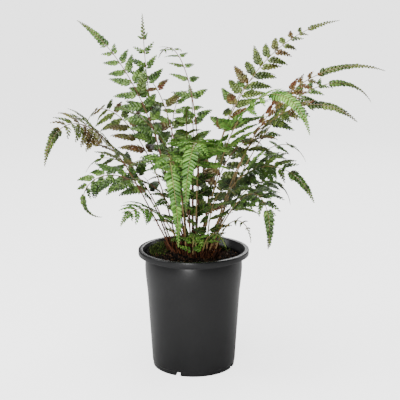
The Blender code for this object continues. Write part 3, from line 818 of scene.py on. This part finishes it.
def grow_frond(stem):
    """The stalk, its scales, every pinna, and the narrow tip with its own pinnules, gathered in one mesh."""
    luck = np.random.default_rng(int(stem.name[-2:]) * 101)
    gathering = Gathering(FROND_MARKS)
    shares = np.concatenate([np.linspace(0, stem.bare, 26)[:-1], np.linspace(stem.bare, 1, 44)])
    centre, along, side, up = stem_course(stem, shares)
    radius = np.array([stem.radius(share) for share in shares]) * np.where(shares > 0.97, 0.5, 0.92)
    redness = 0.15 if stem.tone == "young" else 0.3 if stem.foot[0] > 12 * MM else 0.9
    greening = np.clip((shares - stem.bare) / (1 - stem.bare), 0, 1)
    gathering.add(
        *tube(centre, side, up, radius, 8),
        stalk=np.concatenate([np.repeat(1.0 - 0.35 * greening, 8), [1.0, 0.6]]),
        blush=redness,
        shade=np.concatenate([np.repeat(1 - shares * 0.5, 8), [1.0, 0.5]]),
    )
    add_scales(gathering, stem, luck)
    base, spread = RUSTY_BLUSH if stem.name == RUSTY_FROND else BLUSH[stem.tone]
    for (pair, _), pose in poses[stem.name].items():
        low_down = 1 - pair / stem.pairs
        blush = np.clip(base + spread * luck.uniform(-1, 1) + 0.15 * low_down * (base > 0.4), 0, 1)
        add_pinna(gathering, pose, luck, blush)
    start = stem_shares(stem)[0][-1]
    reach = (1 - start) * stem.length
    pairs = max(5, int(round(reach / (4.6 * MM))))
    step = (np.arange(pairs) + 0.4) / (pairs + 0.2)
    ahead = 1 - (1 - step) ** 1.25
    centre, along, side, up = stem_course(stem, start + (1 - start) * ahead)
    half = stem.tip_half() * (1 - ahead) ** 0.8 + 0.4 * MM
    spacing = np.gradient(ahead) * reach
    lay_pinnules(gathering, centre, along, up, half, spacing, luck, BLUSH[stem.tone][0] * 0.25, NARROW_BASE)
    piece = gathering.piece(stem.name + "_leaves")
    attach(piece, "root")
    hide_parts(stem.name)
    return piece


fronds = {stem.name: grow_frond(stem) for stem in stems}
print("frond faces:", sum(len(piece.data.polygons) for piece in fronds.values()))

# %% [markdown]
# ## Leaf and stalk
#
# A living leaf is satin: a thin wax layer gives a broad soft gloss over green. This fern's older leaves
# flush bronze and rust, its young ones stay light yellow green, and its stalks are reddish brown to tan.
# One material per tone reads four marks that the growing step left on every point: stalk, blush, shade
# and edge.

# %% Leaf materials
# name: shadow green, middle green, light green, blush colour
LEAF_TONES = {
    "green": ("#152306", "#385617", "#6d8d3c", "#5c4217"),
    "bronze": ("#141d05", "#394b15", "#66782f", "#6b2d13"),
    "young": ("#27480f", "#4f7d26", "#86b24a", "#7d9032"),
}
STALK_TAN = "#85734a"
STALK_RED = "#572c20"
# Noise, in waves a metre: patches of green 26 mm wide, flushes of bronze 17 mm, and veins 1.1 mm apart
PATCH_SCALE = 38.0
FLUSH_SCALE = 60.0
VEIN_SCALE = 900.0
# Between these heights, in metres, leaves get lighter from below to above: painted shade low in the plant,
# painted light high up, where the light reaches them
PAINTED_SHADE_HEIGHT = 0.24
PAINTED_LIGHT_HEIGHT = 0.48


def leaf_material(tone):
    """Living fern leaf: green cells under clear wax. The eye gets a soft sheen, uneven colour, and painted
    light and shade: leaves darker low down and lighter high up.
    """
    dark, middle, light, blush = LEAF_TONES[tone]
    material, tree, shader = start_material("leaf_" + tone, 0.46, 0.45)
    read = {}
    for mark in FROND_MARKS:
        read[mark] = add_node(tree, "ShaderNodeAttribute", attribute_name=mark).outputs["Fac"]
    place = add_node(tree, "ShaderNodeTexCoord").outputs["Object"]
    patch = add_node(tree, "ShaderNodeTexNoise", {"Vector": place, "Scale": PATCH_SCALE, "Detail": 3.0})
    # Painted light and shade: the green is darkened low in the plant and lightened high up, by height alone
    height = add_node(tree, "ShaderNodeSeparateXYZ", {"Vector": place}).outputs["Z"]
    reach = {"From Min": PAINTED_SHADE_HEIGHT, "From Max": PAINTED_LIGHT_HEIGHT, "To Min": -0.11, "To Max": 0.08}
    painted_light_by_height = add_node(tree, "ShaderNodeMapRange", {"Value": height, **reach}).outputs["Result"]
    terms = {0: read["shade"], 1: 0.35, 2: patch.outputs["Fac"]}
    uneven = add_node(tree, "ShaderNodeMath", terms, operation="MULTIPLY_ADD").outputs[0]
    raised = add_node(tree, "ShaderNodeMath", {0: uneven, 1: painted_light_by_height}, operation="ADD").outputs[0]
    terms = {0: read["edge"], 1: -0.06, 2: raised}
    edged = add_node(tree, "ShaderNodeMath", terms, operation="MULTIPLY_ADD").outputs[0]
    green = ramp(tree, edged, ((0.30, dark), (0.58, middle), (0.92, light)))
    flush_noise = add_node(tree, "ShaderNodeTexNoise", {"Vector": place, "Scale": FLUSH_SCALE, "Detail": 2.0})
    terms = {0: read["blush"], 1: flush_noise.outputs["Fac"], 2: -0.12}
    flush = add_node(tree, "ShaderNodeMath", terms, operation="MULTIPLY_ADD").outputs[0]
    strong = add_node(tree, "ShaderNodeMath", {0: flush, 1: 1.7}, operation="MULTIPLY", use_clamp=True)
    tones = {"Factor": strong.outputs[0], "A": green, "B": linear(blush)}
    bronzed = add_node(tree, "ShaderNodeMix", tones, data_type="RGBA").outputs[2]
    tones = {"Factor": read["blush"], "A": linear(STALK_TAN), "B": linear(STALK_RED)}
    stalk = add_node(tree, "ShaderNodeMix", tones, data_type="RGBA").outputs[2]
    tones = {"Factor": read["stalk"], "A": bronzed, "B": stalk}
    final = add_node(tree, "ShaderNodeMix", tones, data_type="RGBA").outputs[2]
    tree.links.new(final, shader.inputs["Base Color"])
    vein = add_node(tree, "ShaderNodeTexNoise", {"Vector": place, "Scale": VEIN_SCALE, "Detail": 2.0})
    relief = {"Height": vein.outputs["Fac"], "Strength": 0.25, "Distance": 0.3 * MM}
    bump = add_node(tree, "ShaderNodeBump", relief)
    tree.links.new(bump.outputs["Normal"], shader.inputs["Normal"])
    return material


leaf_materials = {tone: leaf_material(tone) for tone in LEAF_TONES}
for stem in stems:
    fronds[stem.name].data.materials.append(leaf_materials[stem.tone])
print("leaf tones:", ", ".join(leaf_materials))

# %% [markdown]
# ## The pot
#
# A nursery pot like this is blow moulded or thermoformed from recycled polyethylene. The wall is thin, the
# rim is a folded lip that hangs outside the wall, and the drain holes are notches in the corner of the foot.
# The finer pot is one closed outline turned about the pot's axis.

# %% Turn the pot
POT_SECTORS = 144


def turned(outline, sectors):
    """A surface of revolution: (radius times cosine, radius times sine, height), closed at the axis."""
    angle = np.arange(sectors) * 2 * np.pi / sectors
    radius, height = np.array(outline[1:-1]).T
    ring = np.stack(
        [
            radius[:, None] * np.cos(angle),
            radius[:, None] * np.sin(angle),
            np.broadcast_to(height[:, None], (len(radius), sectors)),
        ],
        axis=2,
    )
    points = np.concatenate([ring.reshape(-1, 3), [[0, 0, outline[0][1]]], [[0, 0, outline[-1][1]]]])
    return points, ring_faces(len(radius), sectors)


def rounded(corners, radius, steps=4):
    """Rounds the corners of an outline: each becomes a few points on the curve between its two sides."""
    made = [corners[0]]
    for before, corner, after in zip(corners, corners[1:], corners[2:]):
        before, corner, after = (np.array(p, dtype=float) for p in (before, corner, after))
        cut = min(radius, 0.45 * np.linalg.norm(before - corner), 0.45 * np.linalg.norm(after - corner))
        start = corner + (before - corner) * cut / np.linalg.norm(before - corner)
        end = corner + (after - corner) * cut / np.linalg.norm(after - corner)
        share = np.linspace(0, 1, steps)[:, None]
        curve = start * (1 - share) ** 2 + corner * 2 * share * (1 - share) + end * share**2
        made += [tuple(p) for p in curve]
    return made + [corners[-1]]


neck = POT_HEIGHT - NECK_STEP
# The wall swells by a little over a millimetre into a soft shoulder, and draws in again under the lip
SHOULDER_SWELL = 1.3
rise = np.linspace(0, 1, 6)
drawn_in = np.linspace(150, 168.5, 7)
shoulder_heights = np.concatenate([110 + 37 * rise, drawn_in])
shoulder_swell = np.concatenate(
    [SHOULDER_SWELL * rise**2 * (3 - 2 * rise), SHOULDER_SWELL - 0.005 * (drawn_in - 147) ** 2]
)
pot_corners = [
    (0, 2.5 * MM),
    (FOOT_RADIUS - 7 * MM, 2.5 * MM),
    (FOOT_RADIUS - 4 * MM, 0),
    (FOOT_RADIUS, 0),
    (FOOT_RADIUS, FOOT_STEP - 1 * MM),
    (wall_radius(FOOT_STEP), FOOT_STEP),
    *[(wall_radius(h * MM) + swell * MM, h * MM) for h, swell in zip(shoulder_heights, shoulder_swell)],
    (MOUTH_RADIUS, POT_HEIGHT - WALL - 1 * MM),
    (RIM_RADIUS - WALL, POT_HEIGHT - WALL - 0.6 * MM),
    (RIM_RADIUS - WALL, POT_HEIGHT - LIP_DROP),
    (RIM_RADIUS, POT_HEIGHT - LIP_DROP),
    (RIM_RADIUS, POT_HEIGHT),
    (MOUTH_RADIUS - 0.8 * MM, POT_HEIGHT),
    (NECK_RADIUS - WALL - 0.4 * MM, neck - 1.5 * MM),
    (wall_radius(FOOT_STEP, WALL), FOOT_STEP),
    (wall_radius(FOOT_STEP, WALL) - 3 * MM, 4.5 * MM),
    (0, 4.5 * MM),
]
points, faces = turned(rounded(pot_corners, 1.5 * MM), POT_SECTORS)
pot = mesh_piece("pot_shell", points, faces)
pot.data.set_sharp_from_angle(angle=math.radians(50))
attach(pot, "root")
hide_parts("pot")
print("pot faces:", len(pot.data.polygons))


# %% Cut the drain notches
def drain_blocks():
    """One box for each notch, set across the corner of the foot at the notch's bearing."""
    bearing = np.radians(DRAIN_BEARINGS)[:, None, None]
    reach = np.array([FOOT_RADIUS - DRAIN_DEPTH, FOOT_RADIUS + 5 * MM])[None, :, None]
    side = np.array([-DRAIN_WIDTH, DRAIN_WIDTH])[None, None, :] / 2
    x = reach * np.cos(bearing) - side * np.sin(bearing)
    y = reach * np.sin(bearing) + side * np.cos(bearing)
    flat = np.stack([x, y], axis=3).reshape(-1, 4, 2)
    low = np.concatenate([flat, np.full((len(flat), 4, 1), -2 * MM)], axis=2)
    high = np.concatenate([flat, np.full((len(flat), 4, 1), DRAIN_HEIGHT)], axis=2)
    points = np.concatenate([low, high], axis=1).reshape(-1, 3)
    box = np.array([[0, 1, 3, 2], [4, 6, 7, 5], [0, 4, 5, 1], [2, 3, 7, 6], [0, 2, 6, 4], [1, 5, 7, 3]])
    faces = (box[None] + np.arange(len(flat))[:, None, None] * 8).reshape(-1, 4)
    return points, [faces]


blocks = mesh_piece("drain_blocks", *drain_blocks())
shape = bmesh.new()
shape.from_mesh(blocks.data)
bmesh.ops.recalc_face_normals(shape, faces=shape.faces)
shape.to_mesh(blocks.data)
shape.free()
notches = pot.modifiers.new("notches", "BOOLEAN")
notches.operation = "DIFFERENCE"
notches.solver = "EXACT"
notches.object = blocks
cut_mesh = bpy.data.meshes.new_from_object(pot.evaluated_get(bpy.context.evaluated_depsgraph_get()))
pot.modifiers.clear()
pot.data = cut_mesh
bpy.data.objects.remove(blocks)
print("pot faces with notches:", len(pot.data.polygons))


# %% Polyethylene
# Noise, in waves a metre: clouds of bloom 70 mm wide, scuffs 8 mm wide and flat, and a mould grain of 1.4 mm
CLOUD_SCALE = 14.0
SCUFF_SCALE = 120.0
GRAIN_SCALE = 700.0


def pot_plastic():
    """Moulded recycled polyethylene: near black, waxy rather than glossy, faintly scuffed and dusty."""
    material, tree, shader = start_material("moulded_polyethylene", 0.34, 0.4)
    place = add_node(tree, "ShaderNodeTexCoord").outputs["Object"]
    clouds = {"Vector": place, "Scale": CLOUD_SCALE, "Detail": 5.0, "Roughness": 0.6}
    cloud = add_node(tree, "ShaderNodeTexNoise", clouds)
    colour = ramp(tree, cloud.outputs["Fac"], ((0.3, "#0e0e0f"), (0.7, "#151516")))
    flat = add_node(tree, "ShaderNodeMapping", {"Vector": place, "Scale": (1.0, 1.0, 6.0)})
    scuffs = {"Vector": flat.outputs[0], "Scale": SCUFF_SCALE, "Detail": 4.0, "Roughness": 0.7}
    scuff = add_node(tree, "ShaderNodeTexNoise", scuffs)
    mask = ramp(tree, scuff.outputs["Fac"], ((0.66, "#000000"), (0.76, "#ffffff")))
    tones = {"Factor": mask, "A": colour, "B": linear("#28292a")}
    worn = add_node(tree, "ShaderNodeMix", tones, data_type="RGBA")
    tree.links.new(worn.outputs[2], shader.inputs["Base Color"])
    dulling = {"Value": cloud.outputs["Fac"], "To Min": 0.25, "To Max": 0.35}
    gloss = add_node(tree, "ShaderNodeMapRange", dulling)
    tree.links.new(gloss.outputs["Result"], shader.inputs["Roughness"])
    grain = add_node(tree, "ShaderNodeTexNoise", {"Vector": place, "Scale": GRAIN_SCALE, "Detail": 3.0})
    relief = {"Height": grain.outputs["Fac"], "Strength": 0.12, "Distance": 0.4 * MM}
    bump = add_node(tree, "ShaderNodeBump", relief)
    tree.links.new(bump.outputs["Normal"], shader.inputs["Normal"])
    return material


pot.data.materials.clear()
pot.data.materials.append(pot_plastic())

# %% [markdown]
# ## The soil
#
# Potting mix is bark, peat and grit. From a step away the eye sees a dark lumpy ground, single bark crumbs
# that catch the light, and moss where it stays damp. The ground is a height over the pot's round section,
# and the crumbs are small dented stones laid on it.

# %% Lumpy ground
SOIL_RING_COUNT = 56
SOIL_SECTORS = 144


def lumps(x, y):
    """Height of small lumps: sines of mixed wavelengths, added."""
    wave = np.sin(x * 410 + 1.3 * np.sin(y * 260)) * np.sin(y * 380 + 1.1 * np.sin(x * 300))
    fine = np.sin(x * 1130 + 2.0) * np.sin(y * 990 + 0.7 + 1.5 * np.sin(x * 620))
    return (1.1 * wave + 0.55 * fine) * MM


def ground_height(x, y):
    """The soil's slope and mound, as the solid has them, with the small lumps on top."""
    away = np.hypot(x - MOUND_CENTRE[0], y - MOUND_CENTRE[1]) / MOUND_RADIUS
    return SOIL_LEVEL + SOIL_SLOPE * x + SOIL_MOUND * np.exp(-away * away) + lumps(x, y)


edge = wall_radius(SOIL_LEVEL - 6 * MM, WALL + SOIL_GAP)
share = np.linspace(1, 0, SOIL_RING_COUNT)[:-1]
angle = np.arange(SOIL_SECTORS) * 2 * np.pi / SOIL_SECTORS
x = edge * share[:, None] * np.cos(angle)
y = edge * share[:, None] * np.sin(angle)
top = np.stack([x, y, ground_height(x, y)], axis=2)
SOIL_FOOT = 4.9 * MM
knee = wall_radius(FOOT_STEP, WALL + SOIL_GAP)
wall_top = wall_radius(SOIL_WALL_LEVEL, WALL + SOIL_GAP)
skirt = np.array([(knee - 3 * MM, SOIL_FOOT), (knee, 9 * MM), (wall_top, SOIL_WALL_LEVEL)])
sunk = np.stack(
    [
        skirt[:, :1] * np.cos(angle),
        skirt[:, :1] * np.sin(angle),
        np.broadcast_to(skirt[:, 1:], (len(skirt), SOIL_SECTORS)),
    ],
    axis=2,
)
rings = np.concatenate([sunk, top])
points = np.concatenate([rings.reshape(-1, 3), [[0, 0, SOIL_FOOT]], [[0, 0, ground_height(0, 0)]]])
ground = mesh_piece("potting_mix", points, ring_faces(len(rings), SOIL_SECTORS))
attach(ground, "root")
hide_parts("soil")
print("ground faces:", len(ground.data.polygons))


# %% Bark crumbs and moss
def scatter(count, seed, low, high, spread=0.95):
    """Places evenly spread over the ground: radius goes with the square root of a draw. Sizes in mm."""
    luck = np.random.default_rng(seed)
    radius = edge * spread * np.sqrt(luck.uniform(0, 1, count))
    turn = luck.uniform(0, 2 * np.pi, count)
    x, y = radius * np.cos(turn), radius * np.sin(turn)
    return luck, np.stack([x, y, ground_height(x, y)], axis=1), luck.uniform(low, high, count) * MM


def crumbs(count, seed):
    """Dented stones: the corners of an icosahedron, stretched along its own axes and turned at random."""
    luck, place, size = scatter(count, seed, 0.8, 2.6)
    shape = bmesh.new()
    bmesh.ops.create_icosphere(shape, subdivisions=1, radius=1.0)
    ball = np.array([tuple(v.co) for v in shape.verts])
    faces = np.array([[v.index for v in face.verts] for face in shape.faces])
    shape.free()
    stretch = luck.uniform(0.45, 1.25, (count, 1, 3)) * luck.uniform(0.8, 1.2, (count, len(ball), 1))
    basis = np.linalg.qr(luck.normal(size=(count, 3, 3)))[0]
    basis *= np.sign(np.linalg.det(basis))[:, None, None]
    points = np.einsum("nij,nkj->nki", basis, ball[None] * stretch) * size[:, None, None] + place[:, None]
    faces = faces[None] + np.arange(count)[:, None, None] * len(ball)
    return points.reshape(-1, 3), faces.reshape(-1, 3), np.repeat(luck.uniform(0, 1, count), len(ball))


CRUMB_COUNT = 1500
points, faces, shade = crumbs(CRUMB_COUNT, 7)
bark = mesh_piece("bark_crumbs", points, [faces], {"shade": shade})
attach(bark, "root")


# Middle of each moss tuft, in mm: most stand at the left and behind, where it stays damp
TUFTS = ((-56, 4), (-48, 18), (-40, 30), (-50, -10), (-60, -18), (-44, 8), (-30, 38), (-12, 46), (40, 30))
MOSS_COUNT = 1500


def moss(count, seed):
    """Moss: short pointed blades that stand in tufts, each bent outwards from the middle of its tuft."""
    luck = np.random.default_rng(seed)
    tufts = np.array(TUFTS) * MM
    which = luck.integers(0, len(tufts), count)
    away = luck.normal(size=(count, 2)) * 6.5 * MM
    x, y = (tufts[which] + away).T
    inside = np.hypot(x, y) < edge * 0.94
    x, y, away = x[inside], y[inside], away[inside]
    count = len(x)
    place = np.stack([x, y, ground_height(x, y)], axis=1)
    out = np.concatenate([away * 60, np.ones((count, 1))], axis=1) + luck.normal(size=(count, 3)) * 0.3
    out /= np.linalg.norm(out, axis=1, keepdims=True)
    ahead = across(out, luck.normal(size=(count, 3)))
    face = across(ahead, out)
    size = luck.uniform(2.0, 6.0, count) * MM
    droop, fold = np.full(count, 0.2), np.full(count, 0.3)
    points, faces = blades(place - out * 0.5 * MM, out, ahead, face, size, size * 0.35, droop, fold)
    return points, faces, np.repeat(luck.uniform(0, 1, count), ROWS * 4 - 2)


points, faces, shade = moss(MOSS_COUNT, 11)
tufts = mesh_piece("moss_tufts", points, faces, {"shade": shade})
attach(tufts, "root")
print("crumbs and moss faces:", len(bark.data.polygons), len(tufts.data.polygons))


# %% The crown
CROWN_MIDDLE = (-2 * MM, -2 * MM)
SCALE_COUNT = 700


def crown_scales(count, seed):
    """Stubs of old stalks and papery scales on the rootstock: narrow blades that stand round the crown.

    A blade leans away from the crown's middle in proportion to its distance, and is longer near the middle.
    """
    luck = np.random.default_rng(seed)
    foot = np.array([tuple(stem.foot[:2]) for stem in stems])[luck.integers(0, len(stems), count)]
    away = luck.normal(size=(count, 2)) * 3.2 * MM
    x, y = (foot + away).T
    place = np.stack([x, y, ground_height(x, y) - 1 * MM], axis=1)
    middle = np.array([CROWN_MIDDLE])
    spread = (foot + away - middle) * 9
    out = np.concatenate([spread, np.ones((count, 1))], axis=1) + luck.normal(size=(count, 3)) * 0.16
    out /= np.linalg.norm(out, axis=1, keepdims=True)
    ahead = across(out, luck.normal(size=(count, 3)))
    face = across(ahead, out)
    near = np.exp(-np.hypot(*(foot + away - middle).T) / (22 * MM))
    size = luck.uniform(5, 14, count) * MM + luck.uniform(0, 30, count) * MM * near
    droop, fold = np.full(count, 0.1), np.full(count, 0.3)
    points, faces = blades(place, out, ahead, face, size, size * 0.16 + 0.6 * MM, droop, fold)
    return points, faces, np.repeat(luck.uniform(0, 1, count), ROWS * 4 - 2)


points, faces, shade = crown_scales(SCALE_COUNT, 5)
crown = mesh_piece("crown_scales", points, faces, {"shade": shade})
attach(crown, "root")
print("crown faces:", len(crown.data.polygons))


# %% Soil, bark and moss materials
def ground_material(name, stops, scale, roughness, bump_strength):
    """A dull natural stuff that scatters light evenly: its colour follows the piece's own shade and a noise.

    Scale is the noise's waves a metre.
    """
    material, tree, shader = start_material(name, roughness, 0.15)
    place = add_node(tree, "ShaderNodeTexCoord").outputs["Object"]
    own = add_node(tree, "ShaderNodeAttribute", attribute_name="shade").outputs["Fac"]
    grit = {"Vector": place, "Scale": scale, "Detail": 6.0, "Roughness": 0.7}
    noise = add_node(tree, "ShaderNodeTexNoise", grit).outputs["Fac"]
    both = add_node(tree, "ShaderNodeMath", {0: own, 1: 0.5, 2: noise}, operation="MULTIPLY_ADD")
    tree.links.new(ramp(tree, both.outputs[0], stops), shader.inputs["Base Color"])
    relief = {"Height": noise, "Strength": bump_strength, "Distance": 1.5 * MM}
    bump = add_node(tree, "ShaderNodeBump", relief)
    tree.links.new(bump.outputs["Normal"], shader.inputs["Normal"])
    return material


# name: piece, colours from dark to light, waves a metre, roughness, strength of the relief
GROUND_FINISHES = {
    # wet peat and grit of 4 mm: almost black, with no gloss at all
    "damp_potting_mix": (ground, ((0.35, "#030202"), (0.60, "#0a0705"), (0.85, "#1c130d")), 260.0, 0.95, 0.9),
    # composted bark with a fibre of 2 mm: brown edges that catch the light
    "bark_and_peat": (bark, ((0.4, "#070504"), (0.80, "#20160f"), (1.0, "#523a28")), 500.0, 0.9, 0.6),
    # living moss, mottled every 3 mm: a soft dark green
    "damp_moss": (tufts, ((0.4, "#10160a"), (0.75, "#2c3815"), (1.0, "#56652c")), 300.0, 0.85, 0.4),
    # dry papery scales with streaks of 5 mm: reddish brown
    "dry_brown_scale": (crown, ((0.4, "#130a06"), (0.75, "#30190f"), (1.0, "#5e3820")), 220.0, 0.8, 0.3),
}
for name, (piece, *finish) in GROUND_FINISHES.items():
    piece.data.materials.append(ground_material(name, *finish))
print("ground materials:", ", ".join(GROUND_FINISHES))

# %% [markdown]
# ## The triangles drawn
#
# The triangles of every piece that is drawn are counted and printed.

# %% Count the triangles drawn
drawn = [piece.data for piece in bpy.data.objects if piece.type == "MESH" and not piece.hide_render]
triangles = sum(len(mesh.loops) - 2 * len(mesh.polygons) for mesh in drawn)
print("triangles drawn:", triangles)
